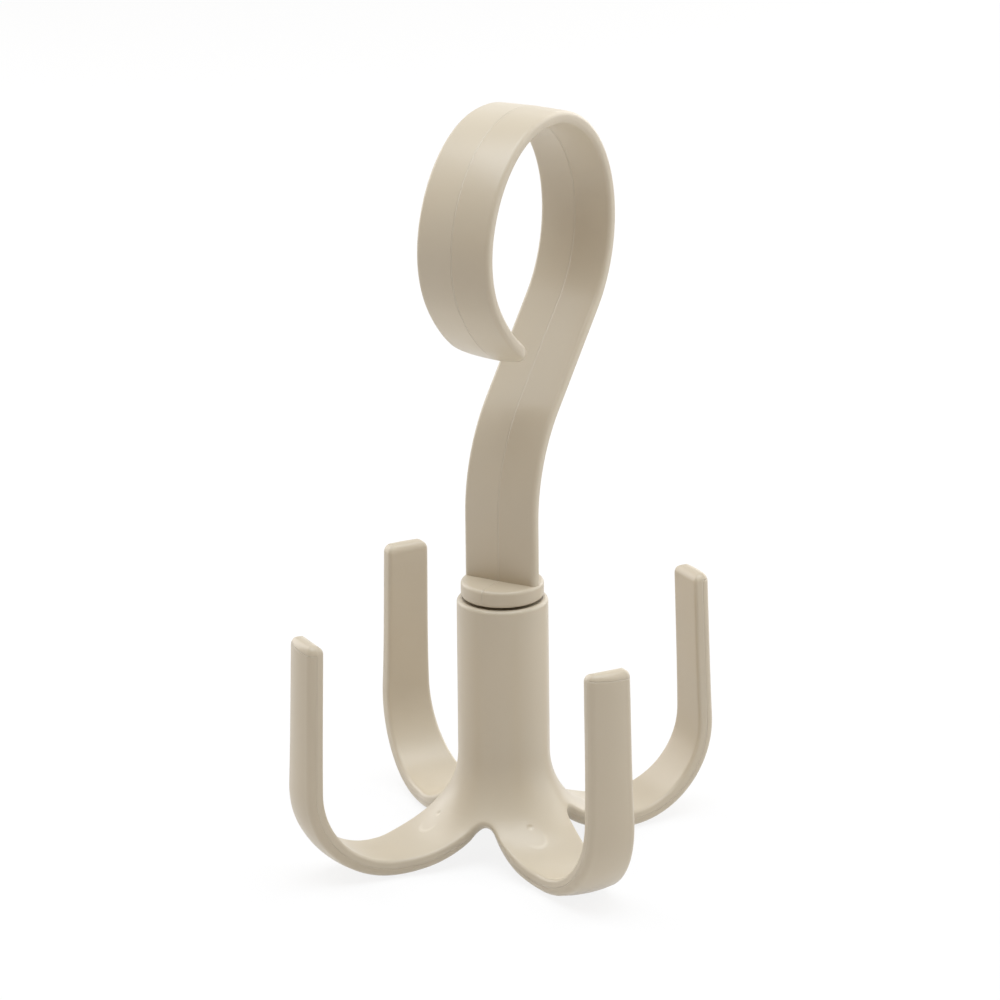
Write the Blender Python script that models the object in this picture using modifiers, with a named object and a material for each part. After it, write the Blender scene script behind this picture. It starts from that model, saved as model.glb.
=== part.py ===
# Hanging hook for a wardrobe rail: a flat strap hook that turns on a tube with four claws.
# Metres, +Z up. The origin is on the swivel axis, at the level of the claws' lowest faces.
# One claw points along +X. The strap hook stands turned about the axis, as it hangs in use.

import math

import bmesh
import bpy
from mathutils import Matrix, Vector

MM = 0.001

# Tube of the claw moulding
TUBE_RADIUS = 10.95 * MM
TUBE_TOP = 62.6 * MM
TUBE_DRAFT = 0.1 * MM
TUBE_WALL = 3.0 * MM
TUBE_RIM_ROUND = 0.9 * MM
RECESS_SLOPE = 0.5 * MM

# Web that closes the tube's top and carries the swivel pin
WEB_THICKNESS = 4.0 * MM
WEB_RECESS = 0.4 * MM

# Claws: the line of their upper skin, from the tube out, round and up
CLAWS = 4
FLARE_RADIUS = 19.6 * MM
SEAT_LENGTH = 1.2 * MM
BEND_RADIUS = 18.8 * MM
UPRIGHT_LEAN = math.radians(1.8)
CLAW_TIP = 60.7 * MM

# Claws: their section
CLAW_WALL = 4.6 * MM
EDGE_ROUND = 1.35 * MM
ROOT_SPREAD = 2.5 * MM
FLARE_WIDTH = 19.2 * MM
SEAT_WIDTH = 16.2 * MM
BEND_WIDTH = 11.8 * MM
TIP_WIDTH = 10.8 * MM
ARCH_ROUND = 4.2 * MM
FLATTEN_LENGTH = 12.0 * MM

# Strap hook: the middle line of the strap, from the collar up and round the rail
STRAP_WIDTH = 19.0 * MM
STRAP_THICKNESS = 3.3 * MM
STRAP_EDGE_ROUND = 1.1 * MM
STEM_RISE = 15.2 * MM
STEM_BEND_RADIUS = 36.3 * MM
STEM_BEND_ANGLE = math.radians(44.2)
LEAN_RUN = 28.2 * MM
LOOP_RADIUS = 29.4 * MM
ROD_SEAT_LENGTH = 1.4 * MM
LOOP_FAR_RADIUS = 28.0 * MM
LOOP_FAR_ANGLE = math.radians(75.9)
CURL_RADIUS = 24.0 * MM
CURL_ANGLE = math.radians(46.9)
CURL_END_RADIUS = 41.8 * MM
CURL_END_ANGLE = math.radians(33.2)
HOOK_TURN = math.radians(32.8)

# Collar and swivel pin, moulded in one with the strap
COLLAR_RADIUS = 9.85 * MM
COLLAR_THICKNESS = 4.0 * MM
COLLAR_TOP_ROUND = 0.9 * MM
COLLAR_BOTTOM_ROUND = 0.5 * MM
PIN_RADIUS = 4.0 * MM
PIN_CHAMFER = 0.4 * MM
PIN_PROUD = 0.1 * MM
PILOT_RADIUS = 1.6 * MM
PILOT_TIP_CLEAR = 0.8 * MM

# Running clearances and the gap that seated pieces keep
COLLAR_GAP = 0.5 * MM
PIN_CLEARANCE = 0.1 * MM
SEAT_GAP = 0.3 * MM

# Washer and self-tapping screw that hold the pin from inside the tube
WASHER_RADIUS = 6.0 * MM
WASHER_THICKNESS = 1.0 * MM
WASHER_HOLE_CLEARANCE = 0.3 * MM
SCREW_CORE_RADIUS = 1.3 * MM
SCREW_LENGTH = 8.0 * MM
SCREW_POINT = 1.2 * MM
SCREW_POINT_RADIUS = 0.5 * MM
HEAD_RADIUS = 3.2 * MM
HEAD_HEIGHT = 2.2 * MM
HEAD_ROUND = 1.3 * MM

# How finely curved shapes are divided
COLUMNS = 8
ROUND_STEPS = 3
ARCH_STEPS = 4
RING_ROWS = 6
PETAL_ROWS = 10
BEND_ROWS = 12
TURNED_STEPS = 48
STRAP_STEP = math.radians(6)
FREE_END_STEPS = 8
SHARP_ANGLE = math.radians(38)
MERGE = 0.005 * MM
CUT_OVERRUN = 1.0 * MM

CREAM = (0.62, 0.55, 0.43, 1.0)
STEEL = (0.52, 0.53, 0.54, 1.0)

HALF_SECTOR = math.pi / CLAWS
COLLAR_BOTTOM = TUBE_TOP + COLLAR_GAP
COLLAR_TOP = COLLAR_BOTTOM + COLLAR_THICKNESS
WEB_TOP = TUBE_TOP - WEB_RECESS
WEB_BOTTOM = WEB_TOP - WEB_THICKNESS
PIN_END = WEB_BOTTOM - PIN_PROUD
WASHER_TOP = PIN_END - SEAT_GAP
HEAD_TOP = WASHER_TOP - WASHER_THICKNESS - SEAT_GAP


class Line:
    """A flat line of straight and round legs, read by the distance along it."""

    def __init__(self, start, heading):
        self.legs = []
        self.end = (start[0], start[1], heading)
        self.length = 0.0

    def straight(self, run):
        self._add(run, 0.0)

    def arc(self, radius, turn):
        self._add(radius * abs(turn), turn)

    def _add(self, run, turn):
        self.legs.append((self.length, run, turn, self.end))
        self.length += run
        self.end = self.at(self.length)

    def at(self, distance):
        """Place across, place up and heading at a distance along the line."""
        leg = [leg for leg in self.legs if leg[0] <= distance or leg is self.legs[0]][-1]
        begun, run, turn, (x, y, heading) = leg
        share = (distance - begun) / run
        if not turn:
            return (x + share * run * math.cos(heading), y + share * run * math.sin(heading), heading)
        radius = run / turn
        now = heading + share * turn
        return (x + radius * (math.sin(now) - math.sin(heading)),
                y - radius * (math.cos(now) - math.cos(heading)), now)


def clear_scene():
    for old in list(bpy.data.objects):
        bpy.data.objects.remove(old, do_unlink=True)


def new_collection(name):
    collection = bpy.data.collections.new(name)
    bpy.context.scene.collection.children.link(collection)
    return collection


def plastic(name, colour, roughness, metallic):
    material = bpy.data.materials.new(name)
    material.use_nodes = True
    shader = material.node_tree.nodes["Principled BSDF"]
    shader.inputs["Base Color"].default_value = colour
    shader.inputs["Roughness"].default_value = roughness
    shader.inputs["Metallic"].default_value = metallic
    return material


def add_object(name, mesh, collection, material=None):
    made = bpy.data.objects.new(name, mesh)
    collection.objects.link(made)
    if material:
        mesh.materials.clear()
        mesh.materials.append(material)
    return made


def helper(made):
    """A shape that only cuts or joins, and is not a piece of its own."""
    made.hide_render = True
    made.display_type = 'WIRE'
    return made


def smooth(mesh):
    mesh.shade_smooth()
    mesh.set_sharp_from_angle(angle=SHARP_ANGLE)


def join_or_cut(made, other, operation):
    boolean = made.modifiers.new(operation.title(), 'BOOLEAN')
    boolean.object = other
    boolean.operation = operation
    boolean.solver = 'EXACT'


def round_corner(centre, radius, first, last, steps=ROUND_STEPS):
    """Points on an arc, from one angle to the other, ends included."""
    turn = (last - first) / steps
    return [(centre[0] + radius * math.cos(first + turn * k),
             centre[1] + radius * math.sin(first + turn * k)) for k in range(steps + 1)]


def turned(name, profile, collection, closed=False):
    """A turned solid. The profile at +X runs down its outer side, top to bottom."""
    mesh = bpy.data.meshes.new(name)
    count = len(profile)
    edges = [(k, (k + 1) % count) for k in range(count if closed else count - 1)]
    mesh.from_pydata([(x, 0, z) for x, z in profile], edges, [])
    made = add_object(name, mesh, collection)
    screw = made.modifiers.new("Turn", 'SCREW')
    screw.steps = TURNED_STEPS
    screw.render_steps = TURNED_STEPS
    screw.use_merge_vertices = True
    screw.merge_threshold = MERGE
    return made


# Claw hub

def claw_line():
    """The upper skin of a claw: out of the tube through the flare, along the seat and up."""
    line = Line((TUBE_RADIUS, 0), math.radians(-90))
    line.arc(FLARE_RADIUS, math.radians(90))
    seat_level = line.end[1]
    line.straight(SEAT_LENGTH)
    line.arc(BEND_RADIUS, math.radians(90) + UPRIGHT_LEAN)
    rise = CLAW_TIP - CLAW_WALL - (line.end[1] - seat_level)
    line.straight(rise / math.cos(UPRIGHT_LEAN))
    return line, CLAW_WALL - seat_level


class Claw:
    """Where the skins, edges and tip of the claw along +X lie."""

    def __init__(self):
        self.line, self.lift = claw_line()
        self.seat_start = FLARE_RADIUS * math.radians(90)
        self.bend_start = self.seat_start + SEAT_LENGTH
        self.upright_start = self.bend_start + BEND_RADIUS * (math.radians(90) + UPRIGHT_LEAN)
        self.root_half = TUBE_RADIUS * math.sin(HALF_SECTOR) + ROOT_SPREAD
        self.arch_centre = (self.root_half + ARCH_ROUND) / math.sin(HALF_SECTOR)
        self.root_end = self.distance_at(math.hypot(self.arch_centre * math.cos(HALF_SECTOR), self.root_half))
        self.ring = self.distance_at(self.arch_centre - ARCH_ROUND) - EDGE_ROUND
        flare_middle = (self.root_end + self.seat_start) / 2
        self.half_widths = [(self.root_end, self.root_half), (flare_middle, FLARE_WIDTH / 2),
                            (self.seat_start + SEAT_LENGTH / 2, SEAT_WIDTH / 2),
                            (self.upright_start, BEND_WIDTH / 2), (self.line.length, TIP_WIDTH / 2)]

    def distance_at(self, radius):
        """The distance along the line at which it reaches a radius, by halving."""
        low, high = 0.0, self.bend_start
        while high - low > MERGE / 100:
            middle = (low + high) / 2
            low, high = (middle, high) if self.line.at(middle)[0] < radius else (low, middle)
        return low

    def wall(self, distance):
        share = min(max(distance / self.seat_start, 0), 1)
        return TUBE_WALL + (CLAW_WALL - TUBE_WALL) * share

    def roundness(self, distance):
        """1 where the skin is turned about the axis, 0 where it is flat across."""
        share = min(max((distance - self.root_end) / FLATTEN_LENGTH, 0), 1)
        return 1 - share * share * (3 - 2 * share)

    def half_width(self, distance):
        """A smooth curve through the half widths, level where it leaves the arch."""
        stations = self.half_widths
        last = len(stations) - 1
        k = max(n for n in range(last) if stations[n][0] <= distance or n == 0)
        (begun, first), (ended, second) = stations[k], stations[k + 1]
        run = ended - begun
        share = (distance - begun) / run
        leave = self.slope(k) * run
        arrive = self.slope(k + 1) * run
        return (first + leave * share * (1 - share) ** 2 - arrive * share ** 2 * (1 - share)
                + (second - first) * share ** 2 * (3 - 2 * share))

    def slope(self, k):
        if k == 0:
            return 0
        stations = self.half_widths
        before, after = stations[k - 1], stations[min(k + 1, len(stations) - 1)]
        return (after[1] - before[1]) / (after[0] - before[0])

    def spread(self, distance, half, share):
        """The place across at a share of the half width, even in angle where the skin is round."""
        radius = self.line.at(distance)[0]
        turn = math.asin(min(half / radius, 1))
        k = self.roundness(distance)
        return k * radius * math.sin(turn * share) + (1 - k) * half * share

    def beside(self, edge, half, along, across):
        """The place across after a move along and across the skin from a place on the edge."""
        radius = self.line.at(edge)[0]
        turn = math.asin(min(half / radius, 1)) + across / radius
        k = self.roundness(edge)
        return k * self.line.at(edge + along)[0] * math.sin(turn) + (1 - k) * (half + across)

    def point(self, distance, across, depth):
        """A place under the upper skin, from the distance along, the place across and the depth."""
        radius, height, heading = self.line.at(distance)
        turn = math.asin(max(min(across / radius, 1), -1))
        inner = radius + depth * math.sin(heading)
        k = self.roundness(distance)
        return Vector((inner * (k * math.cos(turn) + 1 - k),
                       k * inner * math.sin(turn) + (1 - k) * across,
                       height - depth * math.cos(heading) + self.lift))

    def arch_row(self, step):
        """The place of the arch's edge and its inward direction, along and across the skin."""
        swing = (math.pi / 2 - HALF_SECTOR) * step / ARCH_STEPS
        angle = math.pi + HALF_SECTOR + swing
        x = self.arch_centre * math.cos(HALF_SECTOR) + ARCH_ROUND * math.cos(angle)
        y = self.arch_centre * math.sin(HALF_SECTOR) + ARCH_ROUND * math.sin(angle)
        edge = self.distance_at(math.hypot(x, y))
        slant = angle - math.atan2(y, x)
        along, across = math.cos(slant) * math.cos(self.line.at(edge)[2]), math.sin(slant)
        size = math.hypot(along, across)
        return edge, y, (along / size, across / size)

    def rows(self):
        """Edge place, inward direction, inset and corner radius of each row of the claw."""
        found = [(*self.arch_row(step), 0.0, EDGE_ROUND) for step in range(ARCH_STEPS + 1)]
        stops = self.even(self.root_end, self.seat_start, PETAL_ROWS)
        stops += [self.bend_start] + self.even(self.bend_start, self.upright_start, BEND_ROWS)
        stops.append((self.upright_start + self.line.length) / 2)
        found += [(stop, self.half_width(stop), (0, -1), 0.0, EDGE_ROUND) for stop in stops]
        for step in range(ROUND_STEPS + 1):
            angle = math.pi / 2 * step / ROUND_STEPS
            stop = self.line.length - EDGE_ROUND * (1 - math.sin(angle))
            inset = EDGE_ROUND * (1 - math.cos(angle))
            found.append((stop, self.half_width(stop) - inset, (0, -1), inset, EDGE_ROUND - inset))
        return found

    @staticmethod
    def even(first, last, count):
        return [first + (last - first) * (k + 1) / count for k in range(count)]

    def section(self, row):
        """The closed outline of one row: upper skin, one edge, lower skin, other edge."""
        edge, half, (along, across), inset, corner = row
        start = edge + corner * along
        end = self.beside(edge, half, corner * along, corner * across)
        wall = self.wall(start)
        shares = [2 * k / COLUMNS - 1 for k in range(COLUMNS + 1)]
        upper = [self.point(start, self.spread(start, end, share), inset) for share in shares]
        lower = [self.point(start, self.spread(start, end, share), wall - inset) for share in reversed(shares)]
        angles = [math.pi / 2 * (k + 1) / ROUND_STEPS for k in range(ROUND_STEPS)]
        steps = [(1 - math.sin(a), 1 - math.cos(a)) for a in angles]
        rim = [(reach * corner, inset + drop * corner) for reach, drop in steps]
        rim += [(reach, wall - depth) for reach, depth in reversed(rim)]
        right = [self.point(edge + reach * along, self.beside(edge, half, reach * along, reach * across), depth)
                 for reach, depth in rim]
        left = [Vector((p.x, -p.y, p.z)) for p in reversed(right)]
        return upper + right + lower + left


def add_loft(bm, sections):
    """Quads between closed outlines that have the same number of points."""
    rings = [[bm.verts.new(point) for point in section] for section in sections]
    for ring, following in zip(rings, rings[1:]):
        for k in range(len(ring)):
            nxt = (k + 1) % len(ring)
            bm.faces.new((ring[k], ring[nxt], following[nxt], following[k]))
    return rings


def claw_loft(bm, claw):
    """One claw, open where it leaves the tube and closed at its tip."""
    rings = add_loft(bm, [claw.section(row) for row in claw.rows()])
    upper = rings[-1][:COLUMNS + 1]
    lower_start = COLUMNS + 1 + 2 * ROUND_STEPS
    lower = list(reversed(rings[-1][lower_start:lower_start + COLUMNS + 1]))
    for k in range(COLUMNS):
        bm.faces.new((upper[k], upper[k + 1], lower[k + 1], lower[k]))


def tube_profile(claw):
    """Half section of the tube and web, from the last full ring outside to the one inside."""
    bore = TUBE_RADIUS - TUBE_WALL
    rim_radius = TUBE_RADIUS - TUBE_DRAFT
    hole = PIN_RADIUS + PIN_CLEARANCE
    flare = [claw.ring * (RING_ROWS - k) / RING_ROWS for k in range(RING_ROWS + 1)]
    outside = [claw.point(stop, 0, 0) for stop in flare]
    inside = [claw.point(stop, 0, claw.wall(stop)) for stop in reversed(flare)]
    rim = round_corner((rim_radius - TUBE_RIM_ROUND, TUBE_TOP - TUBE_RIM_ROUND), TUBE_RIM_ROUND,
                       0, math.pi / 2)
    top = [(bore + RECESS_SLOPE, TUBE_TOP), (bore, WEB_TOP), (hole, WEB_TOP), (hole, WEB_BOTTOM),
           (bore, WEB_BOTTOM)]
    return [(p.x, p.z) for p in outside] + rim + top + [(p.x, p.z) for p in inside]


def claw_hub(collection, material):
    claw = Claw()
    bm = bmesh.new()
    profile = [bm.verts.new((x, 0, z)) for x, z in tube_profile(claw)]
    edges = [bm.edges.new(pair) for pair in zip(profile, profile[1:])]
    bmesh.ops.spin(bm, geom=profile + edges, cent=(0, 0, 0), axis=(0, 0, 1), angle=math.tau,
                   steps=CLAWS * COLUMNS, use_merge=True)
    for k in range(CLAWS):
        before = set(bm.verts)
        claw_loft(bm, claw)
        fresh = [v for v in bm.verts if v not in before]
        bmesh.ops.rotate(bm, verts=fresh, cent=(0, 0, 0), matrix=Matrix.Rotation(k * math.tau / CLAWS, 3, 'Z'))
    bmesh.ops.remove_doubles(bm, verts=bm.verts, dist=MERGE)
    bmesh.ops.recalc_face_normals(bm, faces=bm.faces)
    mesh = bpy.data.meshes.new("claw_hub")
    bm.to_mesh(mesh)
    bm.free()
    smooth(mesh)
    return add_object("claw_hub", mesh, collection, material)


# Strap hook

def strap_line():
    """The strap's middle line: up the stem, over to one side and round the rail to the curl."""
    line = Line((0, COLLAR_TOP - COLLAR_THICKNESS / 2), math.radians(90))
    line.straight(STEM_RISE + COLLAR_THICKNESS / 2)
    line.arc(STEM_BEND_RADIUS, -STEM_BEND_ANGLE)
    line.straight(LEAN_RUN)
    line.arc(LOOP_RADIUS, math.radians(90) + STEM_BEND_ANGLE)
    line.straight(ROD_SEAT_LENGTH)
    line.arc(LOOP_FAR_RADIUS, LOOP_FAR_ANGLE)
    line.arc(CURL_RADIUS, CURL_ANGLE)
    line.arc(CURL_END_RADIUS, CURL_END_ANGLE)
    return line


def strap_rows(line):
    """Edge place and inward direction, both along and across, of each row up to the round free end."""
    stops = [0.0]
    for begun, run, turn, _ in line.legs:
        count = max(1, math.ceil(abs(turn) / STRAP_STEP))
        stops += [begun + run * (k + 1) / count for k in range(count)]
    half = STRAP_WIDTH / 2
    end_start = line.length - half
    found = [(stop, half, (0, -1)) for stop in stops if stop < end_start - STRAP_EDGE_ROUND]
    for step in range(FREE_END_STEPS + 1):
        angle = math.pi / 2 * step / FREE_END_STEPS
        found.append((end_start + half * math.sin(angle), half * math.cos(angle),
                      (-math.sin(angle), -math.cos(angle))))
    return found


def strap_section(line, row):
    """The closed outline of one row: one rounded edge from face to face, then the other."""
    edge, half, (along, across) = row
    angles = [math.pi / 2 * k / ROUND_STEPS for k in range(ROUND_STEPS + 1)]
    rim = [((1 - math.sin(a)) * STRAP_EDGE_ROUND, (1 - math.cos(a)) * STRAP_EDGE_ROUND) for a in angles]
    rim += [(reach, STRAP_THICKNESS - depth) for reach, depth in reversed(rim)]
    right = []
    for reach, depth in rim:
        x, y, heading = line.at(edge + reach * along)
        off = STRAP_THICKNESS / 2 - depth
        right.append(Vector((x - off * math.sin(heading), y + off * math.cos(heading), half + reach * across)))
    return right + [Vector((p.x, p.y, -p.z)) for p in reversed(right)]


def strap(collection):
    line = strap_line()
    bm = bmesh.new()
    rings = add_loft(bm, [strap_section(line, row) for row in strap_rows(line)])
    bm.faces.new(reversed(rings[0]))
    upright = Matrix.Rotation(HOOK_TURN, 4, 'Z') @ Matrix.Rotation(math.pi / 2, 4, 'X')
    bmesh.ops.transform(bm, matrix=upright, verts=bm.verts)
    bmesh.ops.remove_doubles(bm, verts=bm.verts, dist=MERGE)
    bmesh.ops.recalc_face_normals(bm, faces=bm.faces)
    mesh = bpy.data.meshes.new("strap_blank")
    bm.to_mesh(mesh)
    bm.free()
    return helper(add_object("strap_blank", mesh, collection))


def collar_profile():
    top = round_corner((COLLAR_RADIUS - COLLAR_TOP_ROUND, COLLAR_TOP - COLLAR_TOP_ROUND), COLLAR_TOP_ROUND,
                       math.pi / 2, 0)
    bottom = round_corner((COLLAR_RADIUS - COLLAR_BOTTOM_ROUND, COLLAR_BOTTOM + COLLAR_BOTTOM_ROUND),
                          COLLAR_BOTTOM_ROUND, 0, -math.pi / 2)
    pin = [(PIN_RADIUS, COLLAR_BOTTOM), (PIN_RADIUS, PIN_END + PIN_CHAMFER),
           (PIN_RADIUS - PIN_CHAMFER, PIN_END), (0, PIN_END)]
    return [(0, COLLAR_TOP)] + top + bottom + pin


def suspension_hook(collection, cutters, material):
    made = turned("suspension_hook", collar_profile(), collection)
    made.data.materials.append(material)
    pilot_top = COLLAR_TOP - PILOT_TIP_CLEAR
    pilot = turned("pilot_hole", [(0, pilot_top), (PILOT_RADIUS, pilot_top),
                                  (PILOT_RADIUS, PIN_END - CUT_OVERRUN), (0, PIN_END - CUT_OVERRUN)], cutters)
    join_or_cut(made, strap(cutters), 'UNION')
    join_or_cut(made, helper(pilot), 'DIFFERENCE')
    return made


# Washer and screw

def swivel_washer(collection, material):
    hole = SCREW_CORE_RADIUS + WASHER_HOLE_CLEARANCE
    bottom = WASHER_TOP - WASHER_THICKNESS
    profile = [(hole, WASHER_TOP), (WASHER_RADIUS, WASHER_TOP), (WASHER_RADIUS, bottom), (hole, bottom)]
    made = turned("swivel_washer", profile, collection, closed=True)
    made.data.materials.append(material)
    return made


def retaining_screw(collection, material):
    """Driven up into the pin, so its head is the lowest part."""
    tip = HEAD_TOP + SCREW_LENGTH
    bottom = HEAD_TOP - HEAD_HEIGHT
    head = round_corner((HEAD_RADIUS - HEAD_ROUND, bottom + HEAD_ROUND), HEAD_ROUND, 0, -math.pi / 2)
    profile = [(0, tip), (SCREW_POINT_RADIUS, tip), (SCREW_CORE_RADIUS, tip - SCREW_POINT),
               (SCREW_CORE_RADIUS, HEAD_TOP), (HEAD_RADIUS, HEAD_TOP)] + head + [(0, bottom)]
    made = turned("retaining_screw", profile, collection)
    made.data.materials.append(material)
    return made


def main():
    clear_scene()
    pieces = new_collection("hanging_hook")
    cutters = new_collection("joining_shapes")
    cream = plastic("cream_plastic", CREAM, 0.38, 0.0)
    steel = plastic("zinc_steel", STEEL, 0.35, 1.0)
    claw_hub(pieces, cream)
    swivel = bpy.data.objects.new("swivel_axis", None)
    pieces.objects.link(swivel)
    turning = [suspension_hook(pieces, cutters, cream), swivel_washer(pieces, steel),
               retaining_screw(pieces, steel)]
    for made in turning:
        made.parent = swivel


main()
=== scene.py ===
# Looks of the hanging hook: two satin cream mouldings, and the zinc-plated washer and screw inside.
# Metres, +Z up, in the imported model's frame. The swivel axis is the Z axis, one claw points along +X.

import math

import bmesh
import bpy
from mathutils import Matrix, Quaternion, Vector


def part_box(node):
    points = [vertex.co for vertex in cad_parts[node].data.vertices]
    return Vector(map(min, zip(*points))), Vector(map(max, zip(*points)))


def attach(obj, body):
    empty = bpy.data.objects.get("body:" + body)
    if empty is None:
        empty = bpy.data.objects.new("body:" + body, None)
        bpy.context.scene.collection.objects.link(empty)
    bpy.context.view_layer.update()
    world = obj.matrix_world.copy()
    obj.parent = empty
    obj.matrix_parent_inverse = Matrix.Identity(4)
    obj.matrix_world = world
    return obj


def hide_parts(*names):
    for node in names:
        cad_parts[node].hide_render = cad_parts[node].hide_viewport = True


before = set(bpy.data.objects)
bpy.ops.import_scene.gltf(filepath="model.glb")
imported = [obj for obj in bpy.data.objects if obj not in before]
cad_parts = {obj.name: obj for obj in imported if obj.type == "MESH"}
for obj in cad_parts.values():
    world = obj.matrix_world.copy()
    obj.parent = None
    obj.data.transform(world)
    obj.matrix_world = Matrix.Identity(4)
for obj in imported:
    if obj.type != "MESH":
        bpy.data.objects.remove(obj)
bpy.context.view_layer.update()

MM = 0.001
CLAWS = 4
HALF_SECTOR = math.pi / CLAWS

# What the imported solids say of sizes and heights
TUBE_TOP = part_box("claw_hub")[1].z
PIN_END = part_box("suspension_hook")[0].z
washer_low, washer_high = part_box("swivel_washer")
screw_low, screw_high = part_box("retaining_screw")

# Tube and web
TUBE_RADIUS = 10.95 * MM
TUBE_DRAFT = 0.1 * MM
TUBE_WALL = 3.0 * MM
TUBE_RIM_ROUND = 0.9 * MM
RECESS_RADIUS = 9.6 * MM
WEB_RECESS = 0.4 * MM
WEB_THICKNESS = 4.0 * MM

# Claw: line of the upper skin, then its section
FLARE_RADIUS = 19.6 * MM
SEAT_LENGTH = 1.2 * MM
BEND_RADIUS = 18.8 * MM
UPRIGHT_LEAN = math.radians(1.8)
CLAW_TIP = 60.7 * MM
CLAW_WALL = 4.6 * MM
UPPER_EDGE_ROUND = 0.9 * MM
LOWER_EDGE_ROUND = 1.7 * MM
TIP_ROUND = 2.0 * MM
TIP_INSET = 2.1 * MM
LEAST_ROUND = 0.15 * MM
OUTER_CROWN = 0.5 * MM
ROOT_SPREAD = 2.5 * MM
FLARE_WIDTH = 19.2 * MM
SEAT_WIDTH = 16.2 * MM
BEND_WIDTH = 11.8 * MM
TIP_WIDTH = 10.8 * MM
ARCH_ROUND = 4.2 * MM
FLATTEN_LENGTH = 12.0 * MM

# Strap: section, then middle line from the collar up and round the rail
STRAP_WIDTH = 19.0 * MM
STRAP_THICKNESS = 3.5 * MM
STRAP_FALL = 0.24 * MM
STRAP_EDGE_ROUND = 1.1 * MM
STEM_RISE = 15.2 * MM
STEM_BEND_RADIUS = 36.3 * MM
STEM_BEND_ANGLE = math.radians(44.2)
LEAN_RUN = 28.2 * MM
LOOP_RADIUS = 29.4 * MM
ROD_SEAT_LENGTH = 1.4 * MM
LOOP_FAR_RADIUS = 28.0 * MM
LOOP_FAR_ANGLE = math.radians(75.9)
CURL_RADIUS = 24.0 * MM
CURL_ANGLE = math.radians(46.9)
CURL_END_RADIUS = 41.8 * MM
CURL_END_ANGLE = math.radians(33.2)
HOOK_TURN = math.radians(32.8)

# Collar and pin
COLLAR_GAP = 0.5 * MM
COLLAR_RADIUS = 9.85 * MM
COLLAR_THICKNESS = 4.0 * MM
COLLAR_TOP_ROUND = 0.9 * MM
COLLAR_BOTTOM_ROUND = 0.8 * MM
PIN_RADIUS = 4.0 * MM
PIN_CLEARANCE = 0.1 * MM
PIN_CHAMFER = 0.4 * MM
PILOT_RADIUS = 1.6 * MM
PILOT_TIP_CLEAR = 0.8 * MM

# Washer and screw
WASHER_EDGE_ROUND = 0.25 * MM
WASHER_HOLE_RADIUS = 1.6 * MM
HEAD_HEIGHT = 2.2 * MM
HEAD_ROUND = 1.3 * MM
SCREW_CORE_RADIUS = 1.3 * MM
SCREW_POINT = 1.2 * MM
SCREW_POINT_RADIUS = 0.3 * MM
THREAD_HEIGHT = 0.2 * MM
THREAD_PITCH = 0.9 * MM
THREAD_WIDTH = THREAD_PITCH / 3
CROSS_WIDTH = 0.8 * MM
CROSS_REACH = 1.9 * MM
CROSS_DEPTH = 1.43 * MM
CROSS_END_DEPTH = 0.91 * MM
CROSS_TAPER = 0.7

# Marks of the mould
PARTING_SHARE = 0.43
PARTING_RIDGE = 0.06 * MM
TIP_LINE = 1.8 * MM
TIP_LINE_SLANT = 0.08
LINE_WIDTH = 0.22 * MM
LINE_DEPTH = 0.11 * MM
PIN_MARK_ALONG = 18.9 * MM
PIN_MARK_ACROSS = -1.7 * MM
PIN_MARK_RADIUS = 2.5 * MM
PIN_MARK_EDGE = 0.7 * MM
PIN_MARK_RISE = 0.08 * MM
# Width of the painted highlight on the pin mark's far rim, and how strongly it and the spot beside the
# dimple are painted lighter
PAINTED_HIGHLIGHT_WIDTH = 0.8 * MM
PAINTED_HIGHLIGHT_SHARE = 0.5
PIN_TILT_ALONG = 0.45
PIN_TILT_ACROSS = 0.21
DIMPLE_ALONG = 15.6 * MM
DIMPLE_ACROSS = -1.9 * MM
DIMPLE_RADIUS = 0.85 * MM
DIMPLE_DEPTH = 0.2 * MM
MARKS_ALONG = 18.4 * MM
MARKS_REACH = 4.4 * MM
MARKS_CUTS = 5

# Skin places that each corner of the claw hub keeps for its finish
SKIN_PLACES = ("along", "across", "beyond")

# How finely shapes are divided
COLUMNS = 16
ROUND_STEPS = 6
ARCH_STEPS = 10
RING_ROWS = 14
PETAL_ROWS = 26
BEND_ROWS = 28
UPRIGHT_ROWS = 10
TURNED_STEPS = 96
SCREW_STEPS = 48
THREAD_STEPS = 24
STRAP_STEP = math.radians(2.5)
LEAST_STRAP_ROWS = 4
FREE_END_STEPS = 24
SHARP_ANGLE = math.radians(34)
MERGE = 0.004 * MM
REACH_ACCURACY = MERGE / 100

# Camera, solved from the photograph's outline, and its frame
PHOTO_AZIMUTH = math.radians(-27.5)
PHOTO_ELEVATION = math.radians(18.69)
PHOTO_DISTANCE = 1192.4 * MM
PHOTO_AIM = 86.79 * MM
PHOTO_LENS = 182.63
PHOTO_ROLL = math.radians(-0.585)
PHOTO_SHIFT = -0.0015
SENSOR_WIDTH = 36
CLIP_NEAR = 0.05
CLIP_FAR = 20

# Light
WORLD_LEVEL = 0.24
ROOM_COLOUR = (1.0, 0.74, 0.48, 1)
WHITE = (1.0, 1.0, 1.0, 1)
COOL_LAMP = (0.85, 0.92, 1.0)
WHITE_LAMP = (1.0, 1.0, 1.0)
FLOOR_COLOUR = (0.86, 0.86, 0.86, 1)
FLOOR_ROUGHNESS = 0.9
FLOOR_GLOW = 0.86
FLOOR_HALF = 3.0

# Name, azimuth from the camera, elevation, distance, width, height, power and colour of each lamp
SOFTBOXES = (
    ("softbox_above", 0, 86, 1.6, 1.8, 1.4, 34.0, COOL_LAMP),
    ("softbox_right", 90, 10, 0.75, 0.6, 0.9, 1.9, COOL_LAMP),
    ("softbox_back_left", -130, 20, 0.9, 0.6, 0.8, 3.2, WHITE_LAMP),
    ("softbox_back_right", 130, 20, 0.9, 0.6, 0.8, 2.7, WHITE_LAMP),
    ("softbox_far_right", 157, 8, 1.0, 0.5, 0.9, 1.3, WHITE_LAMP),
)

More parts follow.
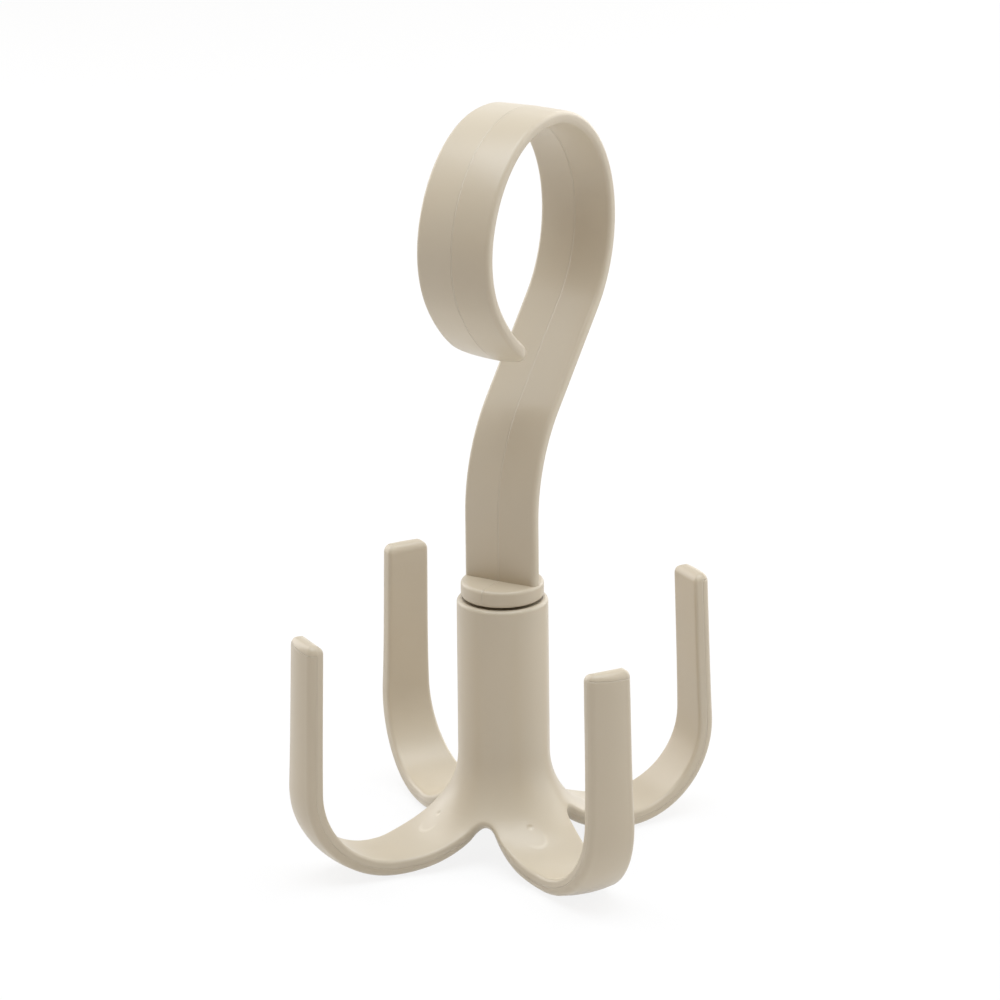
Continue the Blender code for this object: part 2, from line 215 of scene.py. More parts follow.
COLLAR_BOTTOM = TUBE_TOP + COLLAR_GAP
COLLAR_TOP = COLLAR_BOTTOM + COLLAR_THICKNESS
WEB_TOP = TUBE_TOP - WEB_RECESS
WEB_BOTTOM = WEB_TOP - WEB_THICKNESS


# Meshes

def add_to_scene(name, data):
    made = bpy.data.objects.new(name, data)
    bpy.context.scene.collection.objects.link(made)
    return made


def mesh_object(name, bm):
    mesh = bpy.data.meshes.new(name)
    bm.to_mesh(mesh)
    bm.free()
    return add_to_scene(name, mesh)


def shade(mesh, ridges):
    """Shades a mesh smooth, but sharp along its steep edges and along the ridges."""
    mesh.shade_smooth()
    mesh.set_sharp_from_angle(angle=SHARP_ANGLE)
    for index in ridges:
        mesh.edges[index].use_edge_sharp = True


def new_piece(name, bm, body, replaces):
    piece = mesh_object(name, bm)
    shade(piece.data, [edge.index for edge in piece.data.edges if edge.use_edge_sharp])
    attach(piece, body)
    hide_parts(replaces)
    return piece


def around(ring):
    """Each corner of a closed outline with the next one."""
    return list(zip(ring, ring[1:] + ring[:1]))


def closed_wire(bm, places):
    corners = [bm.verts.new(place) for place in places]
    for pair in around(corners):
        bm.edges.new(pair)
    return corners


def wire_edges(bm, ring):
    return [bm.edges.get(pair) for pair in around(ring)]


def draw_on(bm, ring, places):
    """Extrudes a closed outline and puts its new corners at the next places."""
    made = bmesh.ops.extrude_edge_only(bm, edges=wire_edges(bm, ring))["geom"]
    fresh = {v for v in made if isinstance(v, bmesh.types.BMVert)}
    following = []
    for corner, place in zip(ring, places):
        drawn = next(e.other_vert(corner) for e in corner.link_edges if e.other_vert(corner) in fresh)
        drawn.co = place
        following.append(drawn)
    return following


def turn_profile(bm, profile, closed=False, steps=TURNED_STEPS):
    """Spins a half section about the Z axis."""
    corners = [bm.verts.new((x, 0, z)) for x, z in profile]
    pairs = around(corners) if closed else around(corners)[:-1]
    edges = [bm.edges.new(pair) for pair in pairs]
    bmesh.ops.spin(bm, geom=corners + edges, cent=(0, 0, 0), axis=(0, 0, 1), angle=math.tau,
                   steps=steps, use_merge=True)


def close_up(bm):
    bmesh.ops.remove_doubles(bm, verts=bm.verts, dist=MERGE)
    bmesh.ops.recalc_face_normals(bm, faces=bm.faces)


def round_corner(centre, radius, first, last, steps=ROUND_STEPS):
    turn = (last - first) / steps
    return [(centre[0] + radius * math.cos(first + turn * k),
             centre[1] + radius * math.sin(first + turn * k)) for k in range(steps + 1)]


def smooth_step(share):
    share = min(max(share, 0), 1)
    return share * share * (3 - 2 * share)


def even(first, last, count):
    return [first + (last - first) * (k + 1) / count for k in range(count)]


class Line:
    """A flat line of straight and round legs, read by the distance along it."""

    def __init__(self, start, heading):
        self.legs = []
        self.end = (start[0], start[1], heading)
        self.length = 0.0

    def straight(self, run):
        self.add(run, 0.0)

    def arc(self, radius, turn):
        self.add(radius * abs(turn), turn)

    def add(self, run, turn):
        self.legs.append((self.length, run, turn, self.end))
        self.length += run
        self.end = self.at(self.length)

    def at(self, distance):
        leg = [leg for leg in self.legs if leg[0] <= distance or leg is self.legs[0]][-1]
        begun, run, turn, (x, y, heading) = leg
        share = (distance - begun) / run
        if not turn:
            return x + share * run * math.cos(heading), y + share * run * math.sin(heading), heading
        radius = run / turn
        now = heading + share * turn
        return (x + radius * (math.sin(now) - math.sin(heading)),
                y - radius * (math.cos(now) - math.cos(heading)), now)


# Claw hub

class Claw:
    """The skins, edges and tip of the claw along +X. A skin place is along, across and depth."""

    def __init__(self):
        self.line = Line((TUBE_RADIUS, 0), math.radians(-90))
        self.line.arc(FLARE_RADIUS, math.radians(90))
        seat_level = self.line.end[1]
        self.lift = CLAW_WALL - seat_level
        self.seat_start = self.line.length
        self.line.straight(SEAT_LENGTH)
        self.bend_start = self.line.length
        self.line.arc(BEND_RADIUS, math.radians(90) + UPRIGHT_LEAN)
        self.upright_start = self.line.length
        rise = CLAW_TIP - CLAW_WALL - (self.line.end[1] - seat_level)
        self.line.straight(rise / math.cos(UPRIGHT_LEAN))
        self.root_half = TUBE_RADIUS * math.sin(HALF_SECTOR) + ROOT_SPREAD
        self.arch_centre = (self.root_half + ARCH_ROUND) / math.sin(HALF_SECTOR)
        self.root_end = self.reach(math.hypot(self.arch_centre * math.cos(HALF_SECTOR), self.root_half))
        arch_top = self.reach(self.arch_centre - ARCH_ROUND)
        self.upper_ring = arch_top - UPPER_EDGE_ROUND
        self.lower_ring = arch_top - LOWER_EDGE_ROUND
        self.half_widths = [(self.root_end, self.root_half),
                            ((self.root_end + self.seat_start) / 2, FLARE_WIDTH / 2),
                            (self.seat_start + SEAT_LENGTH / 2, SEAT_WIDTH / 2),
                            (self.upright_start, BEND_WIDTH / 2), (self.line.length, TIP_WIDTH / 2)]

    def reach(self, radius):
        """How far along the line a radius is reached, by halving."""
        low, high = 0.0, self.bend_start
        while high - low > REACH_ACCURACY:
            middle = (low + high) / 2
            low, high = (middle, high) if self.line.at(middle)[0] < radius else (low, middle)
        return low

    def wall(self, along):
        return TUBE_WALL + (CLAW_WALL - TUBE_WALL) * min(max(along / self.seat_start, 0), 1)

    def parting(self, along):
        """Depth of the line where the two halves of the mould meet."""
        return PARTING_SHARE * self.wall(along)

    def roundness(self, along):
        """1 where the skin is turned about the axis, 0 where it is flat across."""
        return 1 - smooth_step((along - self.root_end) / FLATTEN_LENGTH)

    def slope(self, k):
        if k == 0:
            return 0
        before, after = self.half_widths[k - 1], self.half_widths[min(k + 1, len(self.half_widths) - 1)]
        return (after[1] - before[1]) / (after[0] - before[0])

    def half_width(self, along):
        inner = range(1, len(self.half_widths) - 1)
        k = max([0] + [n for n in inner if self.half_widths[n][0] <= along])
        (begun, first), (ended, second) = self.half_widths[k], self.half_widths[k + 1]
        run = ended - begun
        share = (along - begun) / run
        return (first + self.slope(k) * run * share * (1 - share) ** 2
                - self.slope(k + 1) * run * share ** 2 * (1 - share)
                + (second - first) * share ** 2 * (3 - 2 * share))

    def spread(self, along, half, share):
        radius = self.line.at(along)[0]
        k = self.roundness(along)
        return k * radius * math.sin(math.asin(min(half / radius, 1)) * share) + (1 - k) * half * share

    def beside(self, edge, half, along, across):
        """The place across after a move along and across the skin from a place on the edge."""
        radius = self.line.at(edge)[0]
        turn = math.asin(min(half / radius, 1)) + across / radius
        k = self.roundness(edge)
        return k * self.line.at(edge + along)[0] * math.sin(turn) + (1 - k) * (half + across)

    def point(self, along, across, depth):
        radius, height, heading = self.line.at(along)
        turn = math.asin(max(min(across / radius, 1), -1))
        inner = radius + depth * math.sin(heading)
        k = self.roundness(along)
        return Vector((inner * (k * math.cos(turn) + 1 - k),
                       k * inner * math.sin(turn) + (1 - k) * across,
                       height - depth * math.cos(heading) + self.lift))

    def arch_row(self, step):
        """Where the arch's edge is, and its inward direction along and across the skin."""
        angle = math.pi + HALF_SECTOR + (math.pi / 2 - HALF_SECTOR) * step / ARCH_STEPS
        x = self.arch_centre * math.cos(HALF_SECTOR) + ARCH_ROUND * math.cos(angle)
        y = self.arch_centre * math.sin(HALF_SECTOR) + ARCH_ROUND * math.sin(angle)
        edge = self.reach(math.hypot(x, y))
        slant = angle - math.atan2(y, x)
        along, across = math.cos(slant) * math.cos(self.line.at(edge)[2]), math.sin(slant)
        size = math.hypot(along, across)
        return edge, y, (along / size, across / size)

    def rows(self):
        """Edge place, half width, inward direction and inset of every row."""
        found = [(*self.arch_row(step), 0.0) for step in range(ARCH_STEPS + 1)]
        stops = even(self.root_end, self.seat_start, PETAL_ROWS) + [self.bend_start]
        stops += even(self.bend_start, self.upright_start, BEND_ROWS)
        stops += even(self.upright_start, self.line.length - TIP_ROUND, UPRIGHT_ROWS)[:-1]
        found += [(stop, self.half_width(stop), (0, -1), 0.0) for stop in stops]
        for step in range(ROUND_STEPS + 1):
            angle = math.pi / 2 * step / ROUND_STEPS
            stop = self.line.length - TIP_ROUND * (1 - math.sin(angle))
            inset = TIP_INSET * (1 - math.cos(angle))
            found.append((stop, self.half_width(stop) - inset, (0, -1), inset))
        return found

    def crown(self, along, share):
        """How much thinner the wall is beside its middle, where the claw's outer face is crowned."""
        return OUTER_CROWN * (1 - self.roundness(along)) * share ** 2

    def outline(self, row):
        """Skin places round one row: upper skin, one edge, lower skin, other edge."""
        edge, half, (along, across), inset = row
        upper_round = max(UPPER_EDGE_ROUND - inset, LEAST_ROUND)
        lower_round = max(LOWER_EDGE_ROUND - inset, LEAST_ROUND)
        shares = [2 * k / COLUMNS - 1 for k in range(COLUMNS + 1)]
        start = edge + upper_round * along
        end = self.beside(edge, half, upper_round * along, upper_round * across)
        upper = [(start, self.spread(start, end, share), inset) for share in shares]
        start = edge + lower_round * along
        end = self.beside(edge, half, lower_round * along, lower_round * across)
        wall = self.wall(start)
        lower = []
        for share in reversed(shares):
            thinner = self.crown(start, share) * (1 - inset / TIP_INSET)
            lower.append((start, self.spread(start, end, share), wall - inset - thinner))
        foot = lower[0][2]
        parting = min(max(self.parting(edge), inset + upper_round), foot - lower_round)
        angles = [math.pi / 2 * (k + 1) / ROUND_STEPS for k in range(ROUND_STEPS)]
        rim = [((1 - math.sin(a)) * upper_round, inset + (1 - math.cos(a)) * upper_round)
               for a in angles]
        rim.append((-PARTING_RIDGE, parting))
        rim += [((1 - math.sin(a)) * lower_round, foot - (1 - math.cos(a)) * lower_round)
                for a in reversed(angles)]
        right = [(edge + move * along, self.beside(edge, half, move * along, move * across), depth)
                 for move, depth in rim]
        left = [(place, -aside, depth) for place, aside, depth in reversed(right)]
        return upper + right + lower + left


def mark_height(along, across):
    """How far the pin's tilted pad stands proud of the petal, and the dimple beside it lies below."""
    ahead, aside = along - PIN_MARK_ALONG, across - PIN_MARK_ACROSS
    pad = 1 - smooth_step((math.hypot(ahead, aside) - PIN_MARK_RADIUS) / PIN_MARK_EDGE)
    tilt = (ahead * PIN_TILT_ALONG + aside * PIN_TILT_ACROSS) / PIN_MARK_RADIUS + 0.5
    dimple = 1 - smooth_step(math.hypot(along - DIMPLE_ALONG, across - DIMPLE_ACROSS) / DIMPLE_RADIUS)
    return pad * tilt * PIN_MARK_RISE - dimple * DIMPLE_DEPTH


def raise_marks(bm, claw, layers):
    """Divides the petal's upper skin finely round the marks and lays it on the marked surface."""
    along, across, beyond = layers

    def near(v):
        return (abs(v[beyond] + claw.parting(v[along])) < MERGE
                and abs(v[along] - MARKS_ALONG) < MARKS_REACH
                and abs(v[across] - PIN_MARK_ACROSS) < MARKS_REACH)

    edges = {e for f in bm.faces if all(near(v) for v in f.verts) for e in f.edges}
    bmesh.ops.subdivide_edges(bm, edges=list(edges), cuts=MARKS_CUTS, use_grid_fill=True)
    for v in bm.verts:
        if near(v):
            v.co = claw.point(v[along], v[across], -mark_height(v[along], v[across]))


def claw_arm(bm, claw, layers):
    """Draws the claw along +X row by row to its tip, and keeps its skin places in the layers."""
    along, across, beyond = layers
    rows = [claw.outline(row) for row in claw.rows()]
    ring = closed_wire(bm, [claw.point(*place) for place in rows[0]])
    for k, places in enumerate(rows):
        if k:
            ring = draw_on(bm, ring, [claw.point(*place) for place in places])
        for corner, place in zip(ring, places):
            corner[along], corner[across] = place[:2]
            corner[beyond] = place[2] - claw.parting(place[0])
    bmesh.ops.contextual_create(bm, geom=wire_edges(bm, ring))


def tube_profile(claw):
    """Half section of tube and web, from the flare's outside, over the rim, to its inside."""
    bore = TUBE_RADIUS - TUBE_WALL
    rim = TUBE_RADIUS - TUBE_DRAFT - TUBE_RIM_ROUND
    hole = PIN_RADIUS + PIN_CLEARANCE
    shares = [k / RING_ROWS for k in range(RING_ROWS + 1)]
    outside = [claw.point(claw.upper_ring * share, 0, 0) for share in reversed(shares)]
    inner_stops = [claw.lower_ring * share for share in shares]
    inside = [claw.point(stop, 0, claw.wall(stop)) for stop in inner_stops]
    over = round_corner((rim, TUBE_TOP - TUBE_RIM_ROUND), TUBE_RIM_ROUND, 0, math.pi / 2)
    web = [(RECESS_RADIUS, TUBE_TOP), (RECESS_RADIUS, WEB_TOP), (hole, WEB_TOP), (hole, WEB_BOTTOM),
           (bore, WEB_BOTTOM)]
    return [(p.x, p.z) for p in outside] + over + web + [(p.x, p.z) for p in inside]


def make_claw_hub():
    claw = Claw()
    bm = bmesh.new()
    for name in SKIN_PLACES:
        bm.verts.layers.float.new(name)
    layers = [bm.verts.layers.float[name] for name in SKIN_PLACES]
    claw_arm(bm, claw, layers)
    raise_marks(bm, claw, layers)
    bmesh.ops.spin(bm, geom=bm.verts[:] + bm.edges[:] + bm.faces[:], cent=(0, 0, 0), axis=(0, 0, 1),
                   angle=math.tau * (CLAWS - 1) / CLAWS, steps=CLAWS - 1, use_duplicate=True)
    turn_profile(bm, tube_profile(claw), steps=CLAWS * COLUMNS)
    close_up(bm)
    along, _, beyond = layers
    for edge in bm.edges:
        edge.smooth = not all(v[along] > claw.root_end and abs(v[beyond]) < MERGE for v in edge.verts)
    return new_piece("moulded_claw_hub", bm, "claws", "claw_hub"), claw


# Strap hook

def strap_line():
    line = Line((0, COLLAR_TOP - COLLAR_THICKNESS / 2), math.radians(90))
    line.straight(STEM_RISE + COLLAR_THICKNESS / 2)
    line.arc(STEM_BEND_RADIUS, -STEM_BEND_ANGLE)
    line.straight(LEAN_RUN)
    line.arc(LOOP_RADIUS, math.radians(90) + STEM_BEND_ANGLE)
    line.straight(ROD_SEAT_LENGTH)
    line.arc(LOOP_FAR_RADIUS, LOOP_FAR_ANGLE)
    line.arc(CURL_RADIUS, CURL_ANGLE)
    line.arc(CURL_END_RADIUS, CURL_END_ANGLE)
    return line


def strap_rows(line):
    """Edge place, half width and inward direction of each row, up to the round free end."""
    stops = [0.0]
    for begun, run, turn, _ in line.legs:
        count = max(LEAST_STRAP_ROWS, math.ceil(abs(turn) / STRAP_STEP))
        stops += even(begun, begun + run, count)
    half = STRAP_WIDTH / 2
    end_start = line.length - half
    found = [(stop, half, (0, -1)) for stop in stops if stop < end_start - STRAP_EDGE_ROUND]
    for step in range(FREE_END_STEPS + 1):
        angle = math.pi / 2 * step / FREE_END_STEPS
        found.append((end_start + half * math.sin(angle), half * math.cos(angle),
                      (-math.sin(angle), -math.cos(angle))))
    return found


def strap_outline(line, row):
    """One row's outline. Both faces fall slightly from the middle to the edges."""
    edge, half, (along, across) = row

    def place(move, aside, depth):
        x, y, heading = line.at(edge + move * along)
        off = STRAP_THICKNESS / 2 - depth
        return Vector((x - off * math.sin(heading), y + off * math.cos(heading), aside))

    fall = STRAP_FALL * (half + STRAP_EDGE_ROUND * across) / (STRAP_WIDTH / 2)
    angles = [math.pi / 2 * k / ROUND_STEPS for k in range(ROUND_STEPS + 1)]
    rim = [((1 - math.sin(a)) * STRAP_EDGE_ROUND, fall + (1 - math.cos(a)) * STRAP_EDGE_ROUND)
           for a in angles]
    rim += [(move, STRAP_THICKNESS - depth) for move, depth in reversed(rim)]
    right = [place(move, half + move * across, depth) for move, depth in rim]
    left = [Vector((v.x, v.y, -v.z)) for v in reversed(right)]
    outer_middle, inner_middle = [place(STRAP_EDGE_ROUND, 0, depth) for depth in (0, STRAP_THICKNESS)]
    return [outer_middle] + right + [inner_middle] + left


def make_strap():
    line = strap_line()
    bm = bmesh.new()
    rows = [strap_outline(line, row) for row in strap_rows(line)]
    ring = closed_wire(bm, rows[0])
    foot = wire_edges(bm, ring)
    for places in rows[1:]:
        ring = draw_on(bm, ring, places)
    bmesh.ops.contextual_create(bm, geom=foot)
    upright = Matrix.Rotation(HOOK_TURN, 4, 'Z') @ Matrix.Rotation(math.pi / 2, 4, 'X')
    bmesh.ops.transform(bm, matrix=upright, verts=bm.verts)
    close_up(bm)
    return mesh_object("strap_to_join", bm)


def collar_profile():
    top = round_corner((COLLAR_RADIUS - COLLAR_TOP_ROUND, COLLAR_TOP - COLLAR_TOP_ROUND),
                       COLLAR_TOP_ROUND, math.pi / 2, 0)
    bottom = round_corner((COLLAR_RADIUS - COLLAR_BOTTOM_ROUND, COLLAR_BOTTOM + COLLAR_BOTTOM_ROUND),
                          COLLAR_BOTTOM_ROUND, 0, -math.pi / 2)
    pilot_top = COLLAR_TOP - PILOT_TIP_CLEAR
    pin = [(PIN_RADIUS, COLLAR_BOTTOM), (PIN_RADIUS, PIN_END + PIN_CHAMFER),
           (PIN_RADIUS - PIN_CHAMFER, PIN_END), (PILOT_RADIUS, PIN_END),
           (PILOT_RADIUS, pilot_top), (0, pilot_top)]
    return [(0, COLLAR_TOP)] + top + bottom + pin


def make_suspension_hook():
    bm = bmesh.new()
    turn_profile(bm, collar_profile())
    close_up(bm)
    piece = new_piece("moulded_strap_hook", bm, "hook", "suspension_hook")
    strap = make_strap()
    union = piece.modifiers.new("Strap", 'BOOLEAN')
    union.object = strap
    union.operation = 'UNION'
    union.solver = 'EXACT'
    graph = bpy.context.evaluated_depsgraph_get()
    joined = bpy.data.meshes.new_from_object(piece.evaluated_get(graph), depsgraph=graph)
    piece.modifiers.clear()
    piece.data = joined
    bpy.data.objects.remove(strap, do_unlink=True)
    sideways = Vector((math.sin(HOOK_TURN), -math.cos(HOOK_TURN), 0))
    ridges = []
    for edge in joined.edges:
        ends = [joined.vertices[k].co for k in edge.vertices]
        if all(abs(end.dot(sideways)) < MERGE and end.z > COLLAR_TOP for end in ends):
            ridges.append(edge.index)
    shade(joined, ridges)
    return piece


# Washer and screw

def make_swivel_washer():
    radius = washer_high.x
    r = WASHER_EDGE_ROUND
    low, high = washer_low.z, washer_high.z
    quarter = math.pi / 2
    profile = (round_corner((radius - r, high - r), r, quarter, 0)
               + round_corner((radius - r, low + r), r, 0, -quarter)
               + round_corner((WASHER_HOLE_RADIUS + r, low + r), r, -quarter, -2 * quarter)
               + round_corner((WASHER_HOLE_RADIUS + r, high - r), r, 2 * quarter, quarter))
    bm = bmesh.new()
    turn_profile(bm, profile, closed=True)
    close_up(bm)
    return new_piece("plated_swivel_washer", bm, "hook", "swivel_washer")


def cut_cross(bm, bottom):
    """Presses the driver's cross into the middle of the screw's head."""
    half = CROSS_WIDTH / 2
    for normal in ((1, 0, 0), (0, 1, 0)):
        for place in (-CROSS_REACH, -half, half, CROSS_REACH):
            bmesh.ops.bisect_plane(bm, geom=bm.verts[:] + bm.edges[:] + bm.faces[:], dist=MERGE,
                                   plane_co=Vector(normal) * place, plane_no=normal)
    inside = []
    for face in bm.faces:
        x, y, z = face.calc_center_median()
        under = face.normal.z < 0 and z < bottom + HEAD_ROUND
        if under and max(abs(x), abs(y)) < CROSS_REACH and min(abs(x), abs(y)) < half:
            inside.append(face)
    made = bmesh.ops.extrude_face_region(bm, geom=inside)["geom"]
    pressed = [v for v in made if isinstance(v, bmesh.types.BMVert)]
    bmesh.ops.delete(bm, geom=inside, context='FACES')
    for v in pressed:
        far = max(abs(v.co.x), abs(v.co.y)) / CROSS_REACH
        depth = CROSS_DEPTH + (CROSS_END_DEPTH - CROSS_DEPTH) * far
        v.co = Vector((v.co.x * CROSS_TAPER, v.co.y * CROSS_TAPER, bottom + depth))


def add_thread(bm, first, last):
    """A three-sided ridge wound up the shank."""
    turns = math.floor((last - first) / THREAD_PITCH)
    root = SCREW_CORE_RADIUS - THREAD_HEIGHT / 2
    crest = SCREW_CORE_RADIUS + THREAD_HEIGHT
    places = ((root, 0, first), (crest, 0, first + THREAD_WIDTH / 2), (root, 0, first + THREAD_WIDTH))
    rib = bm.faces.new([bm.verts.new(place) for place in places])
    bmesh.ops.spin(bm, geom=[rib], cent=(0, 0, 0), axis=(0, 0, 1), angle=turns * math.tau,
                   steps=turns * THREAD_STEPS, dvec=(0, 0, THREAD_PITCH / THREAD_STEPS))


def make_retaining_screw():
    low, high = screw_low.z, screw_high.z
    radius = screw_high.x
    under_head = low + HEAD_HEIGHT
    head = round_corner((radius - HEAD_ROUND, low + HEAD_ROUND), HEAD_ROUND, 0, -math.pi / 2)
    profile = [(0, high), (SCREW_POINT_RADIUS, high), (SCREW_CORE_RADIUS, high - SCREW_POINT),
               (SCREW_CORE_RADIUS, under_head), (radius, under_head)] + head + [(0, low)]
    bm = bmesh.new()
    turn_profile(bm, profile, steps=SCREW_STEPS)
    close_up(bm)
    bm.normal_update()
    cut_cross(bm, low)
    add_thread(bm, under_head, high - SCREW_POINT)
    bmesh.ops.recalc_face_normals(bm, faces=bm.faces)
    return new_piece("plated_retaining_screw", bm, "hook", "retaining_screw")


# Finishes

class Value:
    """A shader socket that takes part in Python sums."""

    def __init__(self, finish, socket):
        self.finish = finish
        self.socket = socket

    def maths(self, operation, *others):
        sockets = [other.socket if isinstance(other, Value) else other for other in others]
        values = dict(enumerate([self.socket] + sockets))
        return self.finish.node("ShaderNodeMath", {"operation": operation}, values)

    def reflected(self, operation, other):
        return self.finish.node("ShaderNodeMath", {"operation": operation}, {0: other, 1: self.socket})

    def __add__(self, other):
        return self.maths('ADD', other)

    def __radd__(self, other):
        return self.maths('ADD', other)

    def __sub__(self, other):
        return self.maths('SUBTRACT', other)

    def __rsub__(self, other):
        return self.reflected('SUBTRACT', other)

    def __mul__(self, other):
        return self.maths('MULTIPLY', other)

    def __rmul__(self, other):
        return self.maths('MULTIPLY', other)

    def __truediv__(self, other):
        return self.maths('DIVIDE', other)

    def __rtruediv__(self, other):
        return self.reflected('DIVIDE', other)

    def __abs__(self):
        return self.maths('ABSOLUTE')

    def limit(self):
        """Held between 0 and 1."""
        return self.finish.node("ShaderNodeMath", {"operation": 'ADD', "use_clamp": True},
                                {0: self.socket, 1: 0.0})

    def higher(self, other):
        return self.maths('MAXIMUM', other)

    def above(self, other):
        return self.maths('GREATER_THAN', other)


class Shading:
    """A node tree whose nodes are added one method call at a time."""

    def __init__(self, tree):
        self.tree = tree

    def node(self, kind, settings=None, values=None, output=0):
        """Adds a node and gives the value of one output, or a list of values for a tuple of outputs."""
        made = self.tree.nodes.new(kind)
        for name, setting in (settings or {}).items():
            setattr(made, name, setting)
        for name, value in (values or {}).items():
            self.feed(made.inputs[name], value)
        if isinstance(output, tuple):
            return [Value(self, made.outputs[name]) for name in output]
        return Value(self, made.outputs[output])

    def feed(self, socket, value):
        if isinstance(value, Value):
            value = value.socket
        if isinstance(value, bpy.types.NodeSocket):
            self.tree.links.new(value, socket)
        else:
            socket.default_value = value

    def background_share(self, level):
        """The white ground's share: the level where seen straight, 1 where mirrored or seen through."""
        kinds = ("Is Camera Ray", "Is Glossy Ray", "Is Transmission Ray")
        seen, mirrored, through = self.node("ShaderNodeLightPath", output=kinds)
        return (seen * level).higher(mirrored).higher(through)


class Finish(Shading):
    """A material and its shader."""

    def __init__(self, name):
        self.material = bpy.data.materials.new(name)
        self.material.use_nodes = True
        super().__init__(self.material.node_tree)
        self.shader = self.tree.nodes["Principled BSDF"]

    def set(self, **values):
        for name, value in values.items():
            self.feed(self.shader.inputs[name.replace("_", " ")], value)

    def place(self):
        return self.node("ShaderNodeTexCoord", output="Object")

    def axes(self):
        return self.node("ShaderNodeSeparateXYZ", {}, {0: self.place()}, output=(0, 1, 2))

    def attribute(self, name):
        return self.node("ShaderNodeAttribute", {"attribute_name": name}, output="Fac")

    def noise(self, size, detail=2.0, roughness=0.5):
        """Cloudy noise whose spots are about as large as the given size."""
        values = {"Vector": self.place(), "Scale": 1 / size, "Detail": detail, "Roughness": roughness}
        return self.node("ShaderNodeTexNoise", {}, values)

    def mix(self, share, first, second):
        """Mixes two colours."""
        colours = {0: share, 6: first, 7: second}
        return self.node("ShaderNodeMix", {"data_type": 'RGBA'}, colours, output=2)

    def line(self, distance, half_width):
        """1 on a line and 0 beside it, from a distance to the line."""
        return (1 - abs(distance) / half_width).limit()

    def far_from(self, first, second):
        """The distance whose two legs are given."""
        return (first * first + second * second).maths('SQRT')

    def bump(self, height, depth, under=None):
        values = {"Height": height, "Distance": depth, "Strength": 1.0}
        if under is not None:
            values["Normal"] = under
        return self.node("ShaderNodeBump", {}, values)


# Colours of the cream and the zinc, then sizes, depths and roughness of their textures
CREAM_WARM = (0.562, 0.487, 0.368, 1)
CREAM_COOL = (0.545, 0.482, 0.375, 1)
# Lighter cream painted along the mould's lines as a highlight
CREAM_LINE_HIGHLIGHT = (0.620, 0.552, 0.444, 1)
# Darker cream for the painted shade on one half of each moulding
CREAM_SHADE = (0.490, 0.415, 0.300, 1)
# Lighter cream for the painted highlights on the pin's marks
CREAM_PAINTED_HIGHLIGHT = (0.720, 0.655, 0.540, 1)
ZINC = (0.56, 0.57, 0.58, 1)
ZINC_BLUE = (0.50, 0.53, 0.58, 1)
# How strongly the painted shade is mixed in
PAINTED_SHADE_SHARE = 0.27
# How strongly the lines' painted highlight is mixed in
LINE_HIGHLIGHT_SHARE = 0.42
CLOUD_SIZE = 22 * MM
CLOUD_CONTRAST = 1.6
CLOUD_OFFSET = 0.3
SKIN_SIZE = 0.45 * MM
SKIN_DEPTH = 0.006 * MM
SWELL_SIZE = 7 * MM
SWELL_DEPTH = 0.05 * MM
STREAK_SIZE = 4 * MM
CREAM_ROUGHNESS = 0.29
STREAK_ROUGHNESS = 0.07
SKIN_ROUGHNESS = 0.03
CREAM_IOR = 1.5
RING_PITCH = 0.18 * MM
RING_DEPTH = 0.004 * MM
PATCH_SIZE = 2.5 * MM
ZINC_ROUGHNESS = 0.30
PATCH_ROUGHNESS = 0.15


def moulded_cream(finish, lines, painted_shade_half, painted_highlight=0.0):
    """Satin plastic: clouds of tone, a fine skin, grooves on the mould's lines painted lighter as a
    highlight, one half darkened with painted shade, and painted highlights from the given mask.
    """
    clouds = finish.noise(CLOUD_SIZE, detail=3.0)
    streaks = finish.noise(STREAK_SIZE)
    tone = finish.mix((clouds * CLOUD_CONTRAST - CLOUD_OFFSET).limit(), CREAM_COOL, CREAM_WARM)
    # Painted shade: one half is painted darker
    tone = finish.mix(painted_shade_half * PAINTED_SHADE_SHARE, tone, CREAM_SHADE)
    # Painted highlight: the mould's lines are painted lighter, besides their grooves
    tone = finish.mix(lines * LINE_HIGHLIGHT_SHARE, tone, CREAM_LINE_HIGHLIGHT)
    tone = finish.mix(painted_highlight, tone, CREAM_PAINTED_HIGHLIGHT)
    skin = finish.noise(SKIN_SIZE, detail=3.0, roughness=0.6)
    swell = finish.noise(SWELL_SIZE, detail=1.0)
    pores = finish.bump(skin, SKIN_DEPTH)
    waves = finish.bump(swell, SWELL_DEPTH, pores)
    grooves = finish.bump(1 - lines, LINE_DEPTH, waves)
    roughness = CREAM_ROUGHNESS + streaks * STREAK_ROUGHNESS + skin * SKIN_ROUGHNESS
    finish.set(Base_Color=tone, Roughness=roughness, Normal=grooves, IOR=CREAM_IOR)


